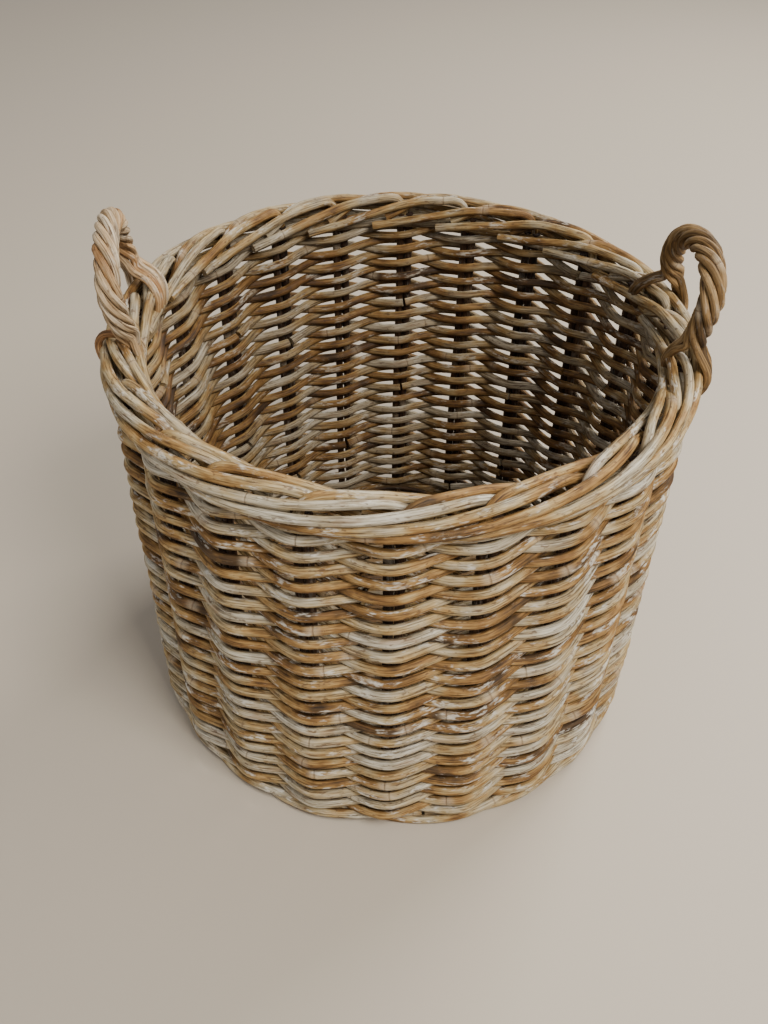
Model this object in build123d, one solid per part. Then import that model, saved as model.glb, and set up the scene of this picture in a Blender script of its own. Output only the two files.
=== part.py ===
from build123d import *
from math import atan2, cos, pi, radians, sin, sqrt
import os

# A round, straight-sided basket woven from rattan rods, with two twisted rope handles. Millimetres, +Z up.
# The origin is the centre of the foot, on the floor. The handles stand on the +X and -X sides.

# Driving dimensions
wall_radius = 232.5  # the circle that the stakes stand on
rim_height = 396.0  # floor to the top of the border
stake_pairs = 22  # an even number, so that each wavy rod closes on itself
first_stake_angle = -90.0

stake_diameter = 7.0
stake_spread = 7.2  # between the two stakes of a pair, centre to centre
siding_rod_diameter = 6.6
course_count = 22
course_pitch = 15.8
first_course_height = 24.0
rod_height_in_course = 3.8  # of each of a course's two rods, below and above its middle

border_rod_diameter = 8.0
border_bundle_radius = 8.5  # from the middle of the bundle to the middle of each rod

foot_height = 14.0
foot_width = 22.0
foot_rounding = 4.0

base_bottom = 8.0
base_thickness = 10.0
base_hub_radius = 40.0
spoke_diameter = 6.0

rope_diameter = 20.0
bow_diameter = 8.0
handle_foot_height = 372.0
handle_rise = 98.0  # from the feet up to the middle of the rope at its crown
right_feet = ((251.4, -58.0), (251.4, 58.0))
right_lean = -19.4  # of the crown, outwards from above the feet
left_feet = ((-251.4, 67.4), (-204.3, -44.0))  # behind the border, and in front of it on the inside
left_lean = 2.0

lashing_diameter = 5.0
lashing_turns = 3
lashing_pitch = 5.4
lashing_gap = 1.5  # between the rope and the nearest turn
lashing_corner = 6.0  # radius at which a turn bends round the border, at its middle

clearance = 0.4  # between rods that press on each other

stake_step = 360.0 / stake_pairs
border_middle = rim_height - border_bundle_radius - border_rod_diameter / 2
border_rod_angles = {
    "top": 90.0,
    "outer_upper": 18.0,
    "outer_lower": -54.0,
    "inner_lower": -126.0,
    "inner_upper": 162.0,
}
lowest_border_rod = border_middle + border_bundle_radius * sin(radians(border_rod_angles["outer_lower"]))
border_bottom = lowest_border_rod - border_rod_diameter / 2


def polar(radius, angle, height=0.0):
    return Vector(radius * cos(radians(angle)), radius * sin(radians(angle)), height)


def stake_angle(index):
    return first_stake_angle + index * stake_step


def rod(path, diameter):
    """A round rod along a wire."""
    start = Plane(origin=path @ 0, z_dir=path % 0)
    return sweep(start * Circle(diameter / 2), path=path)


def write(name, *solids):
    shape = solids[0] if len(solids) == 1 else Compound(children=list(solids))
    export_step(shape, f"parts/{name}.step")


def foot_wale():
    """The thick ring of weaving that the basket stands on, flat underneath."""
    outer = wall_radius + foot_width / 2
    ring = Cylinder(outer, foot_height) - Cylinder(outer - foot_width, foot_height)
    ring = fillet(ring.edges().filter_by(GeomType.CIRCLE), foot_rounding)
    return Pos(0, 0, foot_height / 2) * ring


def base_spokes():
    """Sticks that run out from the middle of the floor to the wall, one for each pair of stakes."""
    length = wall_radius - foot_width / 2 - clearance - base_hub_radius
    return [spoke_cylinder(stake_angle(i), spoke_diameter, length) for i in range(stake_pairs)]


def spoke_cylinder(angle, diameter, length):
    middle = polar(base_hub_radius + length / 2, angle, base_bottom + base_thickness / 2)
    lying = Plane(origin=middle, z_dir=polar(1.0, angle))
    return lying * Cylinder(diameter / 2, length)


def base_weave():
    """The woven floor, a flat round mat with a channel for each spoke."""
    radius = wall_radius - foot_width / 2 - clearance
    mat = Pos(0, 0, base_bottom + base_thickness / 2) * Cylinder(radius, base_thickness)
    channel_length = radius + foot_width - base_hub_radius
    bore = spoke_diameter + 2 * clearance
    channels = [spoke_cylinder(stake_angle(i), bore, channel_length) for i in range(stake_pairs)]
    return mat - channels


def stake_pair(index):
    """Two upright rods, side by side, from the foot to the underside of the border."""
    bottom = foot_height + clearance
    height = border_bottom - clearance - bottom
    half_turn = (stake_spread / 2) / wall_radius * 180 / pi
    stakes = []
    for side in (-1, 1):
        foot = polar(wall_radius, stake_angle(index) + side * half_turn, bottom + height / 2)
        stakes.append(Pos(*foot) * Cylinder(stake_diameter / 2, height))
    return stakes


def wavy_rod(height, outside_first):
    """A closed rod that passes outside one stake pair and inside the next, as equal arcs that meet at a tangent."""
    swing = (stake_diameter + siding_rod_diameter) / 2 + clearance
    bulge = 1 - cos(radians(stake_step))
    slope = (4 - 2 * bulge) * swing
    room = (2 - bulge) * swing**2 + bulge * wall_radius**2
    arc_radius = (sqrt(slope**2 + 4 * bulge * room) - slope) / (2 * bulge)
    crests = []
    centres = []
    for i in range(stake_pairs):
        side = 1 if (i % 2 == 0) == outside_first else -1
        crests.append(polar(wall_radius + side * swing, stake_angle(i), height))
        centres.append(polar(wall_radius + side * (swing - arc_radius), stake_angle(i), height))
    arcs = []
    for i in range(stake_pairs):
        start = (centres[i - 1] + centres[i]) * 0.5
        end = (centres[i] + centres[(i + 1) % stake_pairs]) * 0.5
        arcs.append(Edge.make_three_point_arc(start, crests[i], end))
    return rod(Wire(arcs), siding_rod_diameter)


def siding_course(index):
    """One round of the wall: two rods that take turns to pass outside the stakes."""
    middle = first_course_height + index * course_pitch
    low = wavy_rod(middle - rod_height_in_course, True)
    high = wavy_rod(middle + rod_height_in_course, False)
    return [low, high]


def border_rod(angle):
    """One of the rods bundled along the rim, as a closed ring."""
    radius = wall_radius + border_bundle_radius * cos(radians(angle))
    height = border_middle + border_bundle_radius * sin(radians(angle))
    return Pos(0, 0, height) * Torus(radius, border_rod_diameter / 2)


def handle_path(feet, lean):
    """Up one leg, over a half circle and down the other leg, in one leaning plane."""
    first = Vector(*feet[0], handle_foot_height)
    last = Vector(*feet[1], handle_foot_height)
    middle = (first + last) * 0.5
    across = (last - first).normalized()
    outwards = Vector(across.Y, -across.X, 0)
    if outwards.dot(middle) < 0:
        outwards = -outwards
    rise = Vector(0, 0, handle_rise) + outwards * lean
    half_width = (last - first).length / 2
    straight = rise.normalized() * (rise.length - half_width)
    crown = middle + rise
    left_leg = Edge.make_line(first, first + straight)
    arch = Edge.make_three_point_arc(first + straight, crown, last + straight)
    right_leg = Edge.make_line(last + straight, last)
    return Wire([left_leg, arch, right_leg])


def rope_wrap(path):
    """The twisted strands as one round sleeve over the bow."""
    start = Plane(origin=path @ 0, z_dir=path % 0)
    ring = Circle(rope_diameter / 2) - Circle(bow_diameter / 2 + clearance)
    return sweep(start * ring, path=path)


def lashing(foot, away):
    """Turns of a strand round the border, beside a leg of the handle and on the side away from its other leg."""
    radius = lashing_diameter / 2
    reach = border_bundle_radius * cos(radians(border_rod_angles["outer_upper"]))
    half_width = reach + border_rod_diameter / 2 + clearance + radius
    top = rim_height + clearance + radius
    bottom = border_bottom - clearance - radius
    turns = []
    for turn in range(lashing_turns):
        along = rope_diameter / 2 + lashing_gap + radius + turn * lashing_pitch
        angle = (atan2(foot[1], foot[0]) + away * along / wall_radius) * 180 / pi
        upright = Plane(
            origin=polar(wall_radius, angle, (top + bottom) / 2),
            x_dir=polar(1.0, angle),
            z_dir=polar(1.0, angle - 90),
        )
        outline = upright * RectangleRounded(2 * half_width, top - bottom, lashing_corner)
        turns.append(rod(outline.face().outer_wire(), lashing_diameter))
    return turns


def handle(side, feet, lean):
    path = handle_path(feet, lean)
    write(f"handle_{side}_bow", rod(path, bow_diameter))
    write(f"handle_{side}_wrap", rope_wrap(path))
    for foot in feet:
        place = "front" if foot[1] < 0 else "back"
        turn_sign = 1 if foot[0] * foot[1] > 0 else -1
        write(f"handle_{side}_lashing_{place}", *lashing(foot, turn_sign))


os.makedirs("parts", exist_ok=True)
write("foot_wale", foot_wale())
write("base_spokes", *base_spokes())
write("base_weave", base_weave())
for number in range(stake_pairs):
    write(f"stake_pair_{number + 1:02d}", *stake_pair(number))
for number in range(course_count):
    write(f"siding_course_{number + 1:02d}", *siding_course(number))
for rod_name, rod_angle in border_rod_angles.items():
    write(f"border_rod_{rod_name}", border_rod(rod_angle))
handle("right", right_feet, right_lean)
handle("left", left_feet, left_lean)
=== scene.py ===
import math
import random

import bpy
from mathutils import Matrix, Vector


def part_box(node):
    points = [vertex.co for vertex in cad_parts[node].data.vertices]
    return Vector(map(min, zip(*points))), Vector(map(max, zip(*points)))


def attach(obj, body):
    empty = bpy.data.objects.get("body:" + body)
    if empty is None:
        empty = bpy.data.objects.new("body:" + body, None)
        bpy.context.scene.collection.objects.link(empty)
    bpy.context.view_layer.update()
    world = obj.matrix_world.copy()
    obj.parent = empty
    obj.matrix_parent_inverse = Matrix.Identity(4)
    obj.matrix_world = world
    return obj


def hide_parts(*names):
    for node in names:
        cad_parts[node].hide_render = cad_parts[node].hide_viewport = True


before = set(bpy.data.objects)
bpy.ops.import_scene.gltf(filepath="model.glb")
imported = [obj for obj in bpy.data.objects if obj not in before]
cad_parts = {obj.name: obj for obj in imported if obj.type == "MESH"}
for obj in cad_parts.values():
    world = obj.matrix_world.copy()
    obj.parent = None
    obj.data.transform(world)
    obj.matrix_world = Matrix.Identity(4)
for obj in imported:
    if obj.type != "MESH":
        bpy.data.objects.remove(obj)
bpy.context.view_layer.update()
print("frame loaded")


# Wrapped sockets, so that sums on node values read as plain arithmetic.
class Wire:
    def __init__(self, tree, socket):
        self.tree = tree
        self.socket = socket

    def math(self, operation, *values):
        made = addNode(self.tree, "ShaderNodeMath", {"operation": operation}, dict(enumerate(values)))
        return made["Value"]

    def __add__(self, other):
        return self.math("ADD", self, other)

    def __radd__(self, other):
        return self.math("ADD", other, self)

    def __sub__(self, other):
        return self.math("SUBTRACT", self, other)

    def __rsub__(self, other):
        return self.math("SUBTRACT", other, self)

    def __mul__(self, other):
        return self.math("MULTIPLY", self, other)

    def __truediv__(self, other):
        return self.math("DIVIDE", self, other)

    def cos(self):
        return self.math("COSINE", self)

    def sin(self):
        return self.math("SINE", self)

    def arcsine(self):
        return self.math("ARCSINE", self)

    def floor(self):
        return self.math("FLOOR", self)

    def absolute(self):
        return self.math("ABSOLUTE", self)

    def squeeze(self, low, high):
        # 0 below low, 1 above high, smooth between
        settings = {"interpolation_type": "SMOOTHSTEP"}
        return addNode(self.tree, "ShaderNodeMapRange", settings, {"Value": self, 1: low, 2: high})["Result"]


class Made:
    # a new node's outputs, by name or number
    def __init__(self, tree, node):
        self.tree = tree
        self.node = node

    def __getitem__(self, key):
        return Wire(self.tree, self.node.outputs[key])


def addNode(tree, kind, settings=None, inputs=None):
    node = tree.nodes.new(kind)
    for name, value in (settings or {}).items():
        if name == "stops":
            fillRamp(node.color_ramp, value)
        elif name == "captures":
            for itemName, itemType in value:
                node.capture_items.new(itemType, itemName)
        else:
            setattr(node, name, value)
    for key, value in (inputs or {}).items():
        socket = node.inputs[key]
        if isinstance(value, Wire):
            tree.links.new(value.socket, socket)
        else:
            socket.default_value = value
    return Made(tree, node)


def fillRamp(ramp, stops):
    while len(ramp.elements) < len(stops):
        ramp.elements.new(0.5)
    for element, (place, colour) in zip(ramp.elements, stops):
        element.position = place
        element.color = colour


def shade(red, green, blue):
    # a colour as seen, 0 to 255, to the linear values that Blender takes
    def linear(value):
        value /= 255
        return value / 12.92 if value <= 0.04045 else ((value + 0.055) / 1.055) ** 2.4
    return (linear(red), linear(green), linear(blue), 1.0)


def vector(tree, x, y, z):
    return addNode(tree, "ShaderNodeCombineXYZ", None, {"X": x, "Y": y, "Z": z})["Vector"]


def parts(wire):
    split = addNode(wire.tree, "ShaderNodeSeparateXYZ", None, {"Vector": wire})
    return split["X"], split["Y"], split["Z"]


def vectorSum(first, second):
    made = addNode(first.tree, "ShaderNodeVectorMath", {"operation": "ADD"}, {0: first, 1: second})
    return made["Vector"]


def scaled(wire, amount):
    made = addNode(wire.tree, "ShaderNodeVectorMath", {"operation": "SCALE"}, {0: wire, "Scale": amount})
    return made["Vector"]


def mixColour(tree, amount, first, second, blend="MIX"):
    settings = {"data_type": "RGBA", "blend_type": blend}
    inputs = {0: amount, 6: first, 7: second}
    return addNode(tree, "ShaderNodeMix", settings, inputs)[2]


def noise(tree, place, scale, detail=2.0, rough=0.5):
    inputs = {"Vector": place, "Scale": scale, "Detail": detail, "Roughness": rough}
    return addNode(tree, "ShaderNodeTexNoise", None, inputs)


def chance(tree, number):
    # a draw from 0 to 1 that is always the same for the same number
    return addNode(tree, "ShaderNodeTexWhiteNoise", {"noise_dimensions": "1D"}, {"W": number})["Value"]


# The basket's main sizes, read off the frame.
stakeCount = sum(1 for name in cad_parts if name.startswith("stake_pair_"))
courseCount = sum(1 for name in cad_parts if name.startswith("siding_course_"))
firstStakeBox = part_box("stake_pair_01")
wallRadius = -(firstStakeBox[0].y + firstStakeBox[1].y) / 2
stakeFoot = firstStakeBox[0].z
stakeTop = firstStakeBox[1].z
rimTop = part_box("border_rod_top")[1].z
firstAngle = -math.pi / 2
stakeGap = 2 * math.pi * wallRadius / stakeCount
mm = 0.001


# Leaf rings: one to a stretch of rod, at an uneven place in it that its tone and number pick.
leafRing = {"perMetre": 3.1, "toneShift": 37.0, "jitterShift": 91.0, "unevenness": 0.8, "margin": 0.1}


def leafRingDistance(tree, along, tone):
    stretch = along * leafRing["perMetre"] + tone * leafRing["toneShift"]
    cell = stretch.floor()
    draw = chance(tree, cell + tone * leafRing["jitterShift"])
    fromRing = stretch - cell - draw * leafRing["unevenness"] - leafRing["margin"]
    return fromRing.absolute() / leafRing["perMetre"]


rattan = {
    "siding": {
        "stops": (
            (0.22, shade(94, 72, 46)),
            (0.33, shade(152, 115, 66)),
            (0.41, shade(184, 147, 92)),
            (0.48, shade(198, 171, 122)),
            (0.55, shade(208, 190, 153)),
            (0.63, shade(203, 193, 170)),
            (0.76, shade(228, 222, 206)),
        ),
        "patch": 0.07,
        "toneShift": 0.34,
        # how strong the inner face's browning is, partly its own colour and partly painted shade
        "inside": 0.62,
        # how strong the painted shade on the undersides of the rods is
        "under": 0.5,
        "scuffs": 0.8,
        "rough": 0.58,
    },
}
rattan["border"] = dict(rattan["siding"], toneShift=0.24, patch=0.08, scuffs=0.7, inside=0.35)
rattan["foot"] = dict(rattan["siding"], toneShift=0.2, lift=-0.02)
rattan["floor"] = dict(rattan["siding"], lift=-0.08, scuffs=0.2)
# The stakes are coloured far darker than the other cane: painted shade, for the dark gaps between the rods
# where the stakes show.
rattan["stake"] = dict(
    rattan["siding"],
    stops=((0.2, shade(44, 28, 18)), (0.5, shade(74, 52, 36)), (0.8, shade(104, 78, 56))),
    scuffs=0.15,
    inside=0.2,
)
rattan["leftRope"] = dict(
    rattan["siding"],
    stops=((0.3, shade(168, 124, 80)), (0.42, shade(200, 164, 120)), (0.55, shade(212, 188, 154)),
           (0.7, shade(226, 212, 190))),
    toneShift=0.3,
    scuffs=0.3,
    inside=0.0,
)
rattan["rightRope"] = dict(
    rattan["siding"],
    stops=((0.3, shade(102, 79, 48)), (0.45, shade(142, 113, 72)), (0.58, shade(168, 137, 93)),
           (0.75, shade(188, 160, 120))),
    toneShift=0.3,
    scuffs=0.2,
    inside=0.0,
)


# Marks on the cane: how many fit in a metre across and along a rod, the noise levels that each fades in
# between, how strong it is, its tint, and what it adds to the roughness and to the height of the skin.
marks = {
    "patch": {"across": 30.0, "detail": 4.0, "rough": 0.62, "contrast": 1.3},
    "worn": {"across": 150.0, "along": 34.0, "detail": 3.0, "rough": 0.6, "fade": (0.56, 0.66),
             "amount": 0.5, "tint": shade(160, 116, 70)},
    "fibre": {"across": 760.0, "along": 36.0, "detail": 3.0, "rough": 0.65, "amount": 0.95,
              "stops": ((0.33, shade(98, 82, 66)), (0.47, shade(208, 199, 184)), (0.62, shade(255, 252, 245))),
              "roughens": 0.18, "raises": 0.6},
    "scuff": {"across": 90.0, "along": 26.0, "detail": 4.0, "rough": 0.7, "fade": (0.53, 0.63),
              "tint": shade(229, 223, 208), "roughens": 0.2, "raises": 0.5},
    "fleck": {"across": 420.0, "along": 120.0, "detail": 2.0, "rough": 0.6, "fade": (0.44, 0.58),
              "raises": 0.6},
    "speck": {"across": 300.0, "along": 120.0, "detail": 2.0, "rough": 0.7, "fade": (0.59, 0.68),
              "amount": 0.65, "tint": shade(92, 64, 42)},
    "ringBand": {"fade": (1 * mm, 9 * mm), "amount": 0.35, "tint": shade(222, 205, 176)},
    "ringLine": {"fade": (0.2 * mm, 1.1 * mm), "amount": 0.35, "tint": shade(112, 80, 54), "lowers": 0.9},
    # partly the inner cane's own browner colour, partly painted shade on the inside of the wall
    "inside": {"fade": (-0.15, 0.45), "tint": shade(146, 127, 99)},
    # painted shade on the undersides of the rods, standing in for the shade there
    "under": {"fade": (-0.1, 0.9), "tint": shade(128, 104, 76)},
    "bump": {"Strength": 0.7, "Distance": 1.2 * mm},
    "shine": 0.35,
}


def rattanMaterial(name):
    # dried cane: colour drifts along each rod, with fibres, scuffed skin, specks and leaf rings, and painted
    # shade on the undersides and the inner face
    look = rattan[name]
    material = bpy.data.materials.new(name + "Rattan")
    material.use_nodes = True
    tree = material.node_tree
    tree.nodes.clear()
    output = tree.nodes.new("ShaderNodeOutputMaterial")
    place = addNode(tree, "ShaderNodeAttribute", {"attribute_name": "rodSpace"})["Vector"]
    tone = addNode(tree, "ShaderNodeAttribute", {"attribute_name": "rodTone"})["Fac"]
    across, side, along = parts(place)
    shift = tone * leafRing["toneShift"]  # so that no two rods share their marks

    def field(mark, acrossShift, onwards):
        size = marks[mark]
        spot = vector(tree, across * size["across"] + acrossShift, side * size["across"], onwards)
        return noise(tree, spot, 1.0, size["detail"], size["rough"])["Fac"]

    patch = field("patch", shift, along / look["patch"])
    pick = (patch - 0.5) * marks["patch"]["contrast"] + 0.5
    pick = pick + (tone - 0.5) * look["toneShift"] + look.get("lift", 0.0)
    colour = addNode(tree, "ShaderNodeValToRGB", {"stops": look["stops"]}, {"Fac": pick})["Color"]

    worn = field("worn", shift, along * marks["worn"]["along"] + shift).squeeze(*marks["worn"]["fade"])
    worn = worn * look["scuffs"] * marks["worn"]["amount"]
    colour = mixColour(tree, worn, colour, marks["worn"]["tint"])

    fibre = field("fibre", 0.0, along * marks["fibre"]["along"] + shift)
    grain = addNode(tree, "ShaderNodeValToRGB", {"stops": marks["fibre"]["stops"]}, {"Fac": fibre})["Color"]
    colour = mixColour(tree, marks["fibre"]["amount"], colour, grain, "MULTIPLY")

    scuffField = field("scuff", shift, along * marks["scuff"]["along"])
    flecks = field("fleck", 0.0, along * marks["fleck"]["along"])
    scuffed = scuffField.squeeze(*marks["scuff"]["fade"])
    scuff = scuffed * flecks.squeeze(*marks["fleck"]["fade"]) * look["scuffs"]
    colour = mixColour(tree, scuff, colour, marks["scuff"]["tint"])

    speckField = field("speck", 0.0, along * marks["speck"]["along"] + shift)
    speck = speckField.squeeze(*marks["speck"]["fade"]) * marks["speck"]["amount"]
    colour = mixColour(tree, speck, colour, marks["speck"]["tint"])

    ringDistance = leafRingDistance(tree, along, tone)
    ringLine = 1.0 - ringDistance.squeeze(*marks["ringLine"]["fade"])
    ringBand = (1.0 - ringDistance.squeeze(*marks["ringBand"]["fade"])) * marks["ringBand"]["amount"]
    colour = mixColour(tree, ringBand, colour, marks["ringBand"]["tint"])
    colour = mixColour(tree, ringLine * marks["ringLine"]["amount"], colour, marks["ringLine"]["tint"])

    # the inner face of the wall is browner than the sun-bleached outside, and darker: partly the cane's own
    # colour and partly painted shade, for the inside of the basket that lies in shade
    coordinates = addNode(tree, "ShaderNodeTexCoord")
    x, y, z = parts(coordinates["Object"])
    nx, ny, nz = parts(coordinates["Normal"])
    inward = 0.0 - (x * nx + y * ny) / wallRadius
    inner = inward.squeeze(*marks["inside"]["fade"]) * look["inside"]
    colour = mixColour(tree, inner, colour, marks["inside"]["tint"], "MULTIPLY")

    # painted shade: the undersides of the rods are darkened, for the shade where light doesn't reach between
    # them
    under = (0.0 - nz).squeeze(*marks["under"]["fade"]) * look["under"]
    colour = mixColour(tree, under, colour, marks["under"]["tint"], "MULTIPLY")

    rough = fibre * marks["fibre"]["roughens"] + scuff * marks["scuff"]["roughens"] + look["rough"]
    height = fibre * marks["fibre"]["raises"] + scuffField * marks["scuff"]["raises"]
    height = height - ringLine * marks["ringLine"]["lowers"] + flecks * scuff * marks["fleck"]["raises"]
    bump = addNode(tree, "ShaderNodeBump", None, dict(marks["bump"], Height=height))["Normal"]
    shader = addNode(tree, "ShaderNodeBsdfPrincipled", None, {
        "Base Color": colour, "Roughness": rough, "Normal": bump, "Specular IOR Level": marks["shine"],
    })
    tree.links.new(shader["BSDF"].socket, output.inputs["Surface"])
    return material


materials = {name: rattanMaterial(name) for name in rattan}
print("materials made")


def newTree(name, sizes):
    # a tree with one geometry in and out, and a named input for each size
    tree = bpy.data.node_groups.new(name, "GeometryNodeTree")
    tree.is_modifier = True
    tree.interface.new_socket("Geometry", in_out="INPUT", socket_type="NodeSocketGeometry")
    tree.interface.new_socket("Geometry", in_out="OUTPUT", socket_type="NodeSocketGeometry")
    for socketName, value in sizes.items():
        if isinstance(value, bpy.types.Material):
            kind = "NodeSocketMaterial"
        elif isinstance(value, int):
            kind = "NodeSocketInt"
        else:
            kind = "NodeSocketFloat"
        socket = tree.interface.new_socket(socketName, in_out="INPUT", socket_type=kind)
        socket.default_value = value
    return tree


def setInputs(modifier, values):
    tree = modifier.node_group
    for item in tree.interface.items_tree:
        if item.item_type == "SOCKET" and item.in_out == "INPUT" and item.name in values:
            modifier[item.identifier] = values[item.name]


def capture(tree, geometry, domain, value, kind="FLOAT"):
    settings = {"domain": domain, "captures": (("held", kind),)}
    node = addNode(tree, "GeometryNodeCaptureAttribute", settings, {"Geometry": geometry, 1: value})
    return node["Geometry"], node[1]


def wanderOffset(tree, place, amount):
    # a slow drift, the same for rods that lie together
    field = noise(tree, vectorSum(place, (5.1, 2.7, 6.9)), 7.0, 1.0)["Color"]
    centred = vectorSum(field, (-0.5, -0.5, -0.5))
    return scaled(centred, amount * 2.0)


rodShape = {"lumpsPerMetre": 16.0, "lumpiness": 0.16, "ringFade": (1 * mm, 6 * mm), "ringSwell": 0.5 * mm}


def splineNumber(tree):
    index = addNode(tree, "GeometryNodeInputIndex")["Index"]
    settings = {"domain": "CURVE", "data_type": "FLOAT"}
    return addNode(tree, "GeometryNodeFieldOnDomain", settings, {0: index})[0]


def skinRods(tree, group, curve):
    # each spline becomes a round rod with its own tone, thickness and leaf rings
    splineIndex = splineNumber(tree)
    curve, tone = capture(tree, curve, "POINT", chance(tree, splineIndex * 7.31 + group["Seed"]))
    length = addNode(tree, "GeometryNodeSplineParameter")["Length"]
    curve, along = capture(tree, curve, "POINT", length)
    thick = chance(tree, tone * 51.7 + 3.0)
    lumps = noise(tree, vector(tree, tone * 90.0, along * rodShape["lumpsPerMetre"], 0.0), 1.0, 2.0)["Fac"]
    uneven = (thick - 0.5) * group["Spread"] + (lumps - 0.5) * rodShape["lumpiness"]
    radius = group["Rod Radius"] * (1.0 + uneven)
    ringDistance = leafRingDistance(tree, along, tone)
    radius = radius + (1.0 - ringDistance.squeeze(*rodShape["ringFade"])) * rodShape["ringSwell"]
    circle = addNode(tree, "GeometryNodeCurvePrimitiveCircle", {"mode": "RADIUS"}, {
        "Resolution": group["Sides"], "Radius": 1.0,
    })["Curve"]
    position = addNode(tree, "GeometryNodeInputPosition")["Position"]
    circle, ring = capture(tree, circle, "POINT", position, "VECTOR")
    meshed = addNode(tree, "GeometryNodeCurveToMesh", None, {
        "Curve": curve, "Profile Curve": circle, "Scale": radius, "Fill Caps": True,
    })
    ringX, ringY, ringZ = parts(ring)
    size = group["Rod Radius"]
    rodSpace = vector(tree, ringX * size, ringY * size, along + tone * 11.0)
    stored = meshed["Mesh"]
    for attribute, kind, value in (("rodSpace", "FLOAT_VECTOR", rodSpace), ("rodTone", "FLOAT", tone)):
        settings = {"data_type": kind, "domain": "POINT"}
        inputs = {"Geometry": stored, "Name": attribute, "Value": value}
        stored = addNode(tree, "GeometryNodeStoreNamedAttribute", settings, inputs)["Geometry"]
    smooth = addNode(tree, "GeometryNodeSetShadeSmooth", None, {"Geometry": stored})["Geometry"]
    real = addNode(tree, "GeometryNodeRealizeInstances", None, {"Geometry": smooth})["Geometry"]
    inputs = {"Geometry": real, "Material": group["Material"]}
    return addNode(tree, "GeometryNodeSetMaterial", None, inputs)["Geometry"]


rodSizes = {
    "Rod Radius": 3.8 * mm, "Spread": 0.12, "Sides": 10, "Seed": 1.0, "Wander": 1 * mm,
    "Sample": 5 * mm, "Radius": wallRadius, "Material": materials["siding"],
}
ownWander = 1.2 * mm  # what each twined rod strays by itself, besides the drift it shares with others


def wrapped(tree, group, along, out, up):
    # a place along the wall, off the wall and above the floor, as x, y and z
    angle = along / group["Radius"] + firstAngle
    reach = group["Radius"] + out
    return vector(tree, angle.cos() * reach, angle.sin() * reach, up)


def twineTree():
    # straight splines along the wall become rods that twine past the stakes and round each other
    sizes = dict(rodSizes, **{
        "Swing": 7.3 * mm, "Lift": 3.9 * mm, "Height": 100 * mm,
        "Period": 2.0, "Rods": 2.0, "Bend": 0.9, "Bias": 0.0,
    })
    tree = newTree("twinedRods", sizes)
    group = addNode(tree, "NodeGroupInput")
    curve = addNode(tree, "GeometryNodeResampleCurve", {"mode": "LENGTH"}, {
        "Curve": group["Geometry"], "Length": group["Sample"],
    })["Curve"]
    splineIndex = splineNumber(tree)
    position = addNode(tree, "GeometryNodeInputPosition")["Position"]
    along, out, up = parts(position)
    turn = along * (2 * math.pi / stakeGap) / group["Period"] + splineIndex * (2 * math.pi) / group["Rods"]
    # straight runs between the stakes, with a bend at each one; a Bend of 1 is a sharp corner
    share = (turn.cos() + group["Bias"]) / (group["Bias"] + 1.0)
    swing = (share * group["Bend"]).arcsine() / group["Bend"].arcsine() * group["Swing"]
    lift = turn.sin() * group["Lift"]
    place = wrapped(tree, group, along, out + swing, up + lift + group["Height"])
    place = vectorSum(place, wanderOffset(tree, place, group["Wander"]))
    own = noise(tree, vector(tree, along * 14.0, splineIndex * 9.1 + group["Seed"], 0.0), 1.0, 1.0)["Color"]
    place = vectorSum(place, scaled(vectorSum(own, (-0.5, -0.5, -0.5)), ownWander))
    moved = addNode(tree, "GeometryNodeSetPosition", None, {"Geometry": curve, "Position": place})
    done = skinRods(tree, group, moved["Geometry"])
    output = tree.nodes.new("NodeGroupOutput")
    tree.links.new(done.socket, output.inputs[0])
    return tree


def strokeTree():
    # drawn strokes along the wall, repeated round it one stake further each time
    sizes = dict(rodSizes, Copies=1)
    sizes["Copy Step"] = stakeGap
    sizes["Round Wall"] = 1.0  # 0 leaves the strokes where they are drawn
    sizes["Stagger"] = 0.0
    tree = newTree("wallStrokes", sizes)
    group = addNode(tree, "NodeGroupInput")
    curve = addNode(tree, "GeometryNodeResampleCurve", {"mode": "LENGTH"}, {
        "Curve": group["Geometry"], "Length": group["Sample"],
    })["Curve"]
    repeated = addNode(tree, "GeometryNodeDuplicateElements", {"domain": "SPLINE"}, {
        "Geometry": curve, "Amount": group["Copies"],
    })
    position = addNode(tree, "GeometryNodeInputPosition")["Position"]
    along, out, up = parts(position)
    copy = repeated["Duplicate Index"]
    luck = noise(tree, vector(tree, copy * 7.37 + group["Seed"], 0.4, 0.6), 1.0, 1.0)["Fac"] - 0.5
    along = along + copy * group["Copy Step"] + luck * group["Stagger"] * 2.0
    splineIndex = splineNumber(tree)
    place = wrapped(tree, group, along, out, up)
    place = addNode(tree, "ShaderNodeMix", {"data_type": "VECTOR"}, {
        0: group["Round Wall"], 4: position, 5: place,
    })[1]
    place = vectorSum(place, wanderOffset(tree, place, group["Wander"]))
    own = noise(tree, vector(tree, along * 11.0, splineIndex * 9.1 + group["Seed"], 0.0), 1.0, 1.0)["Color"]
    place = vectorSum(place, scaled(vectorSum(own, (-0.5, -0.5, -0.5)), group["Wander"] * 1.6))
    inputs = {"Geometry": repeated["Geometry"], "Position": place}
    moved = addNode(tree, "GeometryNodeSetPosition", None, inputs)
    done = skinRods(tree, group, moved["Geometry"])
    output = tree.nodes.new("NodeGroupOutput")
    tree.links.new(done.socket, output.inputs[0])
    return tree


trees = {"twine": twineTree(), "stroke": strokeTree()}
print("geometry trees made")


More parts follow.
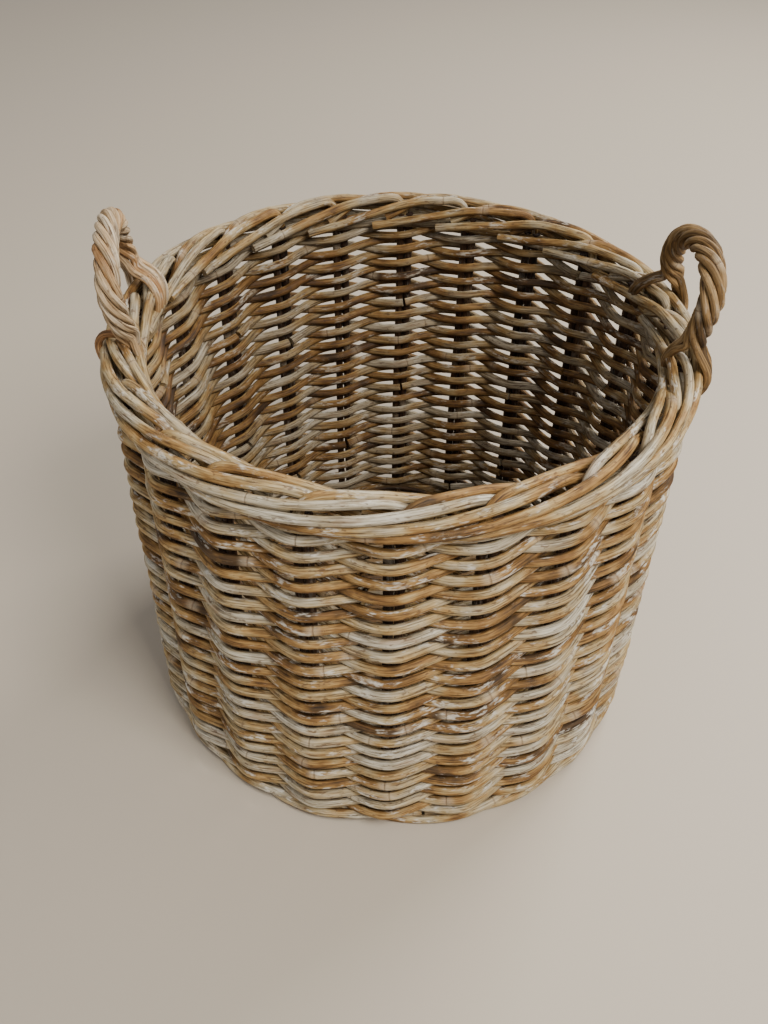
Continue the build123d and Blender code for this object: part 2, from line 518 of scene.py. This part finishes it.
def lineObject(name, runs, smooth):
    # splines through points given as (along, out, up); smooth ones are NURBS, others straight
    curve = bpy.data.curves.new(name, "CURVE")
    curve.dimensions = "3D"
    for run in runs:
        spline = curve.splines.new("NURBS" if smooth else "POLY")
        spline.points.add(len(run) - 1)
        for point, place in zip(spline.points, run):
            point.co = (place[0], place[1], place[2], 1.0)
        if smooth:
            spline.order_u = 4
            spline.use_endpoint_u = True
            spline.resolution_u = 10
    made = bpy.data.objects.new(name + "Line", curve)
    bpy.context.scene.collection.objects.link(made)
    return made


def growPiece(name, tree, runs, values, replaced, smooth=True):
    line = lineObject(name, runs, smooth)
    modifier = line.modifiers.new("grow", "NODES")
    modifier.node_group = trees[tree]
    setInputs(modifier, values)
    graph = bpy.context.evaluated_depsgraph_get()
    mesh = bpy.data.meshes.new_from_object(line.evaluated_get(graph))
    mesh.name = name
    bpy.data.objects.remove(line)
    piece = bpy.data.objects.new(name, mesh)
    bpy.context.scene.collection.objects.link(piece)
    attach(piece, "root")
    if replaced:
        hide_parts(*replaced)
    return piece


siding = {"swing": 9.4 * mm, "lift": 3.9 * mm, "rodRadius": 4.2 * mm, "endGap": 3 * mm, "seed": 41}


def makeSiding():
    picks = random.Random(siding["seed"])
    for number in range(1, courseCount + 1):
        node = f"siding_course_{number:02d}"
        low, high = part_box(node)
        runs = []
        for rod in range(2):
            start = (1 - rod + 2 * picks.randrange(stakeCount // 2)) * stakeGap
            runs.append([(start, 0, 0), (start + stakeCount * stakeGap - siding["endGap"], 0, 0)])
        growPiece(f"sidingCourse{number:02d}", "twine", runs, {
            "Rod Radius": siding["rodRadius"], "Swing": siding["swing"], "Lift": siding["lift"],
            "Height": (low.z + high.z) / 2, "Seed": number * 3.17, "Material": materials["siding"],
            "Spread": 0.22, "Wander": 1.6 * mm, "Sample": stakeGap / 16, "Sides": 10,
        }, [node], smooth=False)
    print("siding woven")


stakes = {
    "rodRadius": 4.1 * mm, "apart": 4.2 * mm, "bendSideways": 0.6 * mm, "bendOut": 0.36 * mm,
    "belowFoot": 4 * mm, "intoBorder": 6 * mm, "points": 7, "seed": 77,
}


def makeStakes():
    picks = random.Random(stakes["seed"])
    for number in range(1, stakeCount + 1):
        runs = []
        for side in (-1, 1):
            centre = (number - 1) * stakeGap + side * stakes["apart"]
            run = []
            for step in range(stakes["points"]):
                share = step / (stakes["points"] - 1)
                up = stakeFoot - stakes["belowFoot"] + (stakeTop + stakes["intoBorder"] - stakeFoot) * share
                drift = picks.uniform(-1, 1) * stakes["bendSideways"]
                run.append((centre + drift, picks.uniform(-1, 1) * stakes["bendOut"], up))
            runs.append(run)
        growPiece(f"stakePair{number:02d}", "stroke", runs, {
            "Rod Radius": stakes["rodRadius"], "Seed": 200 + number * 1.9, "Material": materials["stake"],
            "Copies": 1, "Wander": 1.6 * mm, "Sample": 12 * mm, "Sides": 10,
        }, [f"stake_pair_{number:02d}"])
    print("stakes set")


# Each border stroke: stakes along, then mm outwards from the stakes and mm above the rim.
border = {
    "inner": ((-0.06, 2, -34), (-0.04, 3, -20), (0.0, 3, -10), (0.1, 0, -4.4), (0.3, -5, -4.2),
              (0.6, -8.5, -4.6), (0.9, -11.5, -6.5), (1.2, -14, -11), (1.5, -15.5, -16), (1.85, -16, -21),
              (2.2, -15.5, -25), (2.5, -14, -28)),
    "outer": ((0.0, 1, -34), (0.25, 5, -29), (0.6, 9.5, -26), (1.0, 12, -23), (1.5, 13, -19.5),
              (2.0, 13, -15.5), (2.5, 11.5, -11), (3.0, 8.4, -7), (3.4, 4, -4.6), (3.72, -1, -4.6),
              (3.94, -6, -9), (4.1, -9.5, -15), (4.3, -10.5, -21)),
    "rodRadius": 3.95 * mm,
    "stagger": 22 * mm,
    "waleRadius": 3.8 * mm,
    "waleDrop": 29 * mm,
    "waleSwing": 8.2 * mm,
    "waleLift": 3.4 * mm,
}


def stroke(points):
    return [(step * stakeGap, out * mm, rimTop + up * mm) for step, out, up in points]


def waleRuns():
    # three rods, each a stake behind the last, nearly once round the wall
    reach = (stakeCount - 1) * stakeGap - siding["endGap"]
    starts = [(1.5 - rod) * stakeGap for rod in range(3)]
    return [[(start, 0, 0), (start + reach, 0, 0)] for start in starts]


def makeBorder():
    shared = {"Rod Radius": border["rodRadius"], "Copies": stakeCount, "Stagger": border["stagger"],
              "Wander": 2.2 * mm, "Sample": 5 * mm, "Sides": 12, "Spread": 0.2,
              "Material": materials["border"]}
    growPiece("borderInnerStrokes", "stroke", [stroke(border["inner"])], dict(shared, Seed=12.0),
              ["border_rod_top", "border_rod_inner_upper", "border_rod_inner_lower"])
    growPiece("borderOuterStrokes", "stroke", [stroke(border["outer"])], dict(shared, Seed=31.0),
              ["border_rod_outer_upper", "border_rod_outer_lower"])
    growPiece("borderWale", "twine", waleRuns(), {
        "Rod Radius": border["waleRadius"], "Swing": border["waleSwing"], "Lift": border["waleLift"],
        "Period": 3.0, "Rods": 3.0, "Bias": 0.2, "Height": rimTop - border["waleDrop"], "Seed": 19.0,
        "Material": materials["siding"],
        "Sample": stakeGap / 14, "Wander": 1.6 * mm, "Sides": 10, "Spread": 0.2,
    }, [], smooth=False)
    print("border braided")


foot = {"rodRadius": 4.2 * mm, "swing": 6.6 * mm, "lift": 3.6 * mm, "drop": 5.4 * mm, "seed": 8.0}


def makeFoot():
    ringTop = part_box("foot_wale")[1].z
    growPiece("footWale", "twine", waleRuns(), {
        "Rod Radius": foot["rodRadius"], "Swing": foot["swing"], "Lift": foot["lift"],
        "Period": 3.0, "Rods": 3.0, "Bias": 0.3, "Bend": 0.8,
        "Height": ringTop - foot["drop"], "Seed": foot["seed"],
        "Material": materials["foot"], "Sample": 5 * mm, "Wander": 0.6 * mm, "Sides": 12,
    }, ["foot_wale"], smooth=False)
    print("foot woven")


floorMat = {
    "rodRadius": 2.9 * mm, "firstRing": 42 * mm, "ringGap": 6.0 * mm, "wave": 4.4 * mm,
    "spokeRadius": 3.0 * mm, "sticksAcross": 6, "sticksAlong": 5, "stickGap": 6.4 * mm, "crossReach": 26 * mm,
    "opening": (0.32, 0.55, 0.78, 1.0), "pointsPerStake": 8,
}


def crossSticks(count, turned, middle, lift, outerRadius):
    # parallel sticks through the middle, whose two ends open out like the spokes of a wheel
    spokeStep = 2 * math.pi / stakeCount
    sticks = []
    for index in range(count):
        offset = index - (count - 1) / 2
        angle = offset * spokeStep
        half = [(floorMat["crossReach"] * share, offset * floorMat["stickGap"], middle + lift)
                for share in (0.3, 1.0)]
        for share in floorMat["opening"]:
            reach = outerRadius * share
            half.append((reach * math.cos(angle), reach * math.sin(angle), middle))
        stick = [(-x, y, z) for x, y, z in reversed(half)] + half
        if turned:
            stick = [(y, x, z) for x, y, z in stick]
        sticks.append(stick)
    return sticks


def makeFloorMat():
    low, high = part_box("base_weave")
    middle = (low.z + high.z) / 2
    lastRing = high.x - floorMat["rodRadius"]
    rings = int((lastRing - floorMat["firstRing"]) / floorMat["ringGap"])
    steps = stakeCount * floorMat["pointsPerStake"]
    runs = []
    for ring in range(rings + 1):
        radius = floorMat["firstRing"] + (lastRing - floorMat["firstRing"]) * ring / rings
        run = []
        for step in range(steps + 1):
            turn = 2 * math.pi * step / steps
            wave = math.cos(stakeCount / 2 * turn + math.pi * (ring % 2))
            run.append((turn * wallRadius, radius - wallRadius, middle + wave * floorMat["wave"]))
        runs.append(run)
    growPiece("floorWeave", "stroke", runs, {
        "Rod Radius": floorMat["rodRadius"], "Seed": 3.0, "Material": materials["floor"], "Copies": 1,
        "Wander": 0.5 * mm, "Sample": 9 * mm, "Sides": 6,
    }, ["base_weave"])
    lift = floorMat["spokeRadius"]
    spokes = crossSticks(floorMat["sticksAcross"], False, middle, -lift, lastRing)
    spokes += crossSticks(floorMat["sticksAlong"], True, middle, lift, lastRing)
    growPiece("floorSpokes", "stroke", spokes, {
        "Rod Radius": floorMat["spokeRadius"], "Seed": 6.0, "Material": materials["floor"], "Copies": 1,
        "Wander": 0.3 * mm, "Sample": 8 * mm, "Sides": 8, "Round Wall": 0.0,
    }, ["base_spokes"])
    print("floor woven")


# A handle's points are mm to the back from its middle, out from the stakes and above the rim.
# The inner and outer tails are where its strands part at each foot and go down either side of the border.
handles = {
    "strands": 6, "strandRadius": 3.1 * mm, "coreRadius": 4.2 * mm, "ropeRadius": 7.1 * mm,
    "pitch": 80 * mm, "pointGap": 5 * mm,
    "right": {
        "line": ((-50, 1, 12), (-56, 4, 34), (-56, 6, 57), (-44, 3, 71), (-20, -2, 77), (6, -6, 73),
                 (28, -7, 61), (45, -4, 41), (53, 3, 21), (54, 8, 10)),
        "near": {
            "inner": (2, ((-47, -10, 5), (-42, -15, -6), (-38, -16, -18), (-36, -12, -30), (-35, -5, -38))),
            "outer": (4, ((-52, 11, 3), (-52, 18, -7), (-50, 19, -18), (-48, 15, -30), (-46, 6, -40))),
        },
        "far": {
            "inner": (2, ((60, -6, 10), (68, -14, 2), (76, -17, -10), (82, -14, -22), (85, -6, -31))),
            "outer": (4, ((54, 15, 0), (54, 19, -11), (53, 18, -22), (52, 13, -32), (51, 5, -40))),
        },
    },
    "left": {
        "line": ((-48, -9, 4), (-54, -4, 24), (-54, -1, 46), (-41, -2, 63), (-18, -1, 74), (8, 1, 74),
                 (31, 7, 60), (47, 13, 36), (54, 14, 14)),
        "near": {
            "inner": (5, ((-45, -13, -8), (-42, -17, -20), (-39, -16, -32), (-36, -11, -43), (-34, -4, -50))),
            "outer": (1, ((-42, 8, 4), (-38, 17, -6), (-37, 18, -18), (-40, 13, -31), (-42, 5, -39))),
        },
        "far": {
            "inner": (4, ((54, 6, 7), (51, -5, 6), (47, -15, 0), (44, -19, -11), (42, -17, -24),
                          (41, -8, -35))),
            "outer": (2, ((59, 17, 2), (61, 19, -8), (63, 18, -20), (62, 12, -31), (61, 4, -38))),
        },
    },
}


finePoints = 40  # steps between two given points, to measure the line by


def smoothLine(points, gap):
    # points an even gap apart on a curve through the given ones
    ends = [points[0] * 2 - points[1]] + points + [points[-1] * 2 - points[-2]]
    line, owed = [points[0]], gap
    before = points[0]
    for a, b, c, d in zip(ends, ends[1:], ends[2:], ends[3:]):
        for step in range(1, finePoints + 1):
            t = step / finePoints
            bend = (a * 2 - b * 5 + c * 4 - d) * t ** 2 + (b * 3 - a - c * 3 + d) * t ** 3
            place = (b * 2 + (c - a) * t + bend) * 0.5
            owed -= (place - before).length
            before = place
            if owed <= 0:
                line.append(place)
                owed += gap
    return line


def twistedStrands(line):
    # the middle lines of the strands that wind round the rope's own middle line
    frames = []
    normal = Vector((0, 1, 0))
    for index, place in enumerate(line):
        ahead = (line[min(index + 1, len(line) - 1)] - line[max(index - 1, 0)]).normalized()
        normal = (normal - ahead * normal.dot(ahead)).normalized()
        frames.append((place, normal, ahead.cross(normal)))
    strands = []
    for strand in range(handles["strands"]):
        run = []
        for index, (place, normal, side) in enumerate(frames):
            turns = index * handles["pointGap"] / handles["pitch"] + strand / handles["strands"]
            angle = 2 * math.pi * turns
            run.append(place + (normal * math.cos(angle) + side * math.sin(angle)) * handles["ropeRadius"])
        strands.append(run)
    return strands


def addTails(strands, end, tails, toWall):
    # the innermost strands at this end go down inside the border, side by side, and the others outside it
    order = sorted(range(len(strands)), key=lambda strand: strands[strand][end].y)
    groups = (order[:tails["inner"][0]], order[tails["inner"][0]:])
    for group, (count, guide) in zip(groups, (tails["inner"], tails["outer"])):
        group = sorted(group, key=lambda strand: strands[strand][end].x)
        for place, strand in enumerate(group):
            offset = (place - (len(group) - 1) / 2) * 2 * handles["strandRadius"]
            tail = [toWall(point) + Vector((offset, 0, 0)) for point in guide]
            if end == 0:
                strands[strand] = tail[::-1] + strands[strand]
            else:
                strands[strand] = strands[strand] + tail


def makeHandle(side):
    shape = handles[side]
    # going round the wall leads to the back on the right side, and to the front on the left side
    facing = 1 if side == "right" else -1
    middle = (0.25 if side == "right" else 0.75) * stakeCount * stakeGap

    def toWall(point):
        back, out, up = point
        return Vector((middle + facing * back * mm, out * mm, rimTop + up * mm))

    line = smoothLine([toWall(point) for point in shape["line"]], handles["pointGap"])
    strands = twistedStrands(line)
    addTails(strands, 0, shape["near"], toWall)
    addTails(strands, -1, shape["far"], toWall)
    shared = {"Copies": 1, "Sample": 3 * mm, "Sides": 10, "Wander": 0.4 * mm, "Spread": 0.1,
              "Material": materials[side + "Rope"]}
    nodes = [f"handle_{side}_wrap", f"handle_{side}_lashing_front", f"handle_{side}_lashing_back"]
    growPiece(f"{side}HandleStrands", "stroke", [[tuple(p) for p in run] for run in strands],
              dict(shared, **{"Rod Radius": handles["strandRadius"], "Seed": 4.0}), nodes)
    growPiece(f"{side}HandleCore", "stroke", [[tuple(p) for p in line]],
              dict(shared, **{"Rod Radius": handles["coreRadius"], "Seed": 9.0}), [f"handle_{side}_bow"])


def makeHandles():
    makeHandle("right")
    makeHandle("left")
    print("handles twisted")


makeSiding()
makeStakes()
makeBorder()
makeFoot()
makeFloorMat()
makeHandles()


stage = {"reach": 6.0, "shade": shade(200, 187, 168), "rough": 0.55}


def makeStage():
    mesh = bpy.data.meshes.new("studioFloor")
    corners = [(x * stage["reach"], y * stage["reach"], 0) for x, y in ((-1, -1), (1, -1), (1, 1), (-1, 1))]
    mesh.from_pydata(corners, [], [(0, 1, 2, 3)])
    floor = bpy.data.objects.new("studioFloor", mesh)
    bpy.context.scene.collection.objects.link(floor)
    material = bpy.data.materials.new("paleFloor")
    material.use_nodes = True
    shader = material.node_tree.nodes["Principled BSDF"]
    shader.inputs["Base Color"].default_value = stage["shade"]
    shader.inputs["Roughness"].default_value = stage["rough"]
    mesh.materials.append(material)


# Each light: where it hangs, where it points, how wide it is and how strong, all in metres and watts.
lights = {
    "windowLight": {"place": (1.5, 1.7, 2.1), "aim": (0, 0, 0.3), "size": 1.3, "power": 74,
                    "tint": (1.0, 0.98, 0.94)},
    "doorLight": {"place": (1.1, -1.3, 2.3), "aim": (0, 0, 0.2), "size": 1.1, "power": 72,
                  "tint": (1.0, 0.97, 0.92)},
    "roomLight": {"place": (-1.9, -1.3, 1.8), "aim": (0, 0, 0.2), "size": 2.4, "power": 12,
                  "tint": (0.96, 0.98, 1.0)},
}
roomAir = {"tint": (0.93, 0.95, 1.0, 1.0), "strength": 0.3}


def makeLights():
    for name, light in lights.items():
        data = bpy.data.lights.new(name, "AREA")
        data.size = light["size"]
        data.energy = light["power"]
        data.color = light["tint"]
        lamp = bpy.data.objects.new(name, data)
        lamp.location = light["place"]
        direction = Vector(light["aim"]) - Vector(light["place"])
        lamp.rotation_euler = direction.to_track_quat("-Z", "Y").to_euler()
        bpy.context.scene.collection.objects.link(lamp)
    world = bpy.data.worlds.new("roomAir")
    world.use_nodes = True
    background = world.node_tree.nodes["Background"]
    background.inputs["Color"].default_value = roomAir["tint"]
    background.inputs["Strength"].default_value = roomAir["strength"]
    bpy.context.scene.world = world


# The camera's place is in metres, its angles in degrees and its lens in mm.
view = {
    "place": (0.0, -0.7265, 0.8344), "heading": -1.0, "down": 42.28, "roll": 0.94,
    "lens": 35.16, "sensor": 36,
}


def makeCamera():
    data = bpy.data.cameras.new("camera")
    data.lens = view["lens"]
    data.sensor_width = view["sensor"]
    camera = bpy.data.objects.new("camera", data)
    heading = math.radians(view["heading"])
    down = math.radians(view["down"])
    level = Vector((math.sin(heading), math.cos(heading), 0)) * math.cos(down)
    ahead = level - Vector((0, 0, math.sin(down)))
    right = Vector((math.cos(heading), -math.sin(heading), 0))
    up = right.cross(ahead)
    roll = math.radians(view["roll"])
    rolledRight = right * math.cos(roll) + up * math.sin(roll)
    rolledUp = up * math.cos(roll) - right * math.sin(roll)
    turned = Matrix((rolledRight, rolledUp, -ahead)).transposed().to_4x4()
    camera.matrix_world = Matrix.Translation(view["place"]) @ turned
    bpy.context.scene.collection.objects.link(camera)
    bpy.context.scene.camera = camera


makeStage()
makeLights()
makeCamera()
print("stage set")
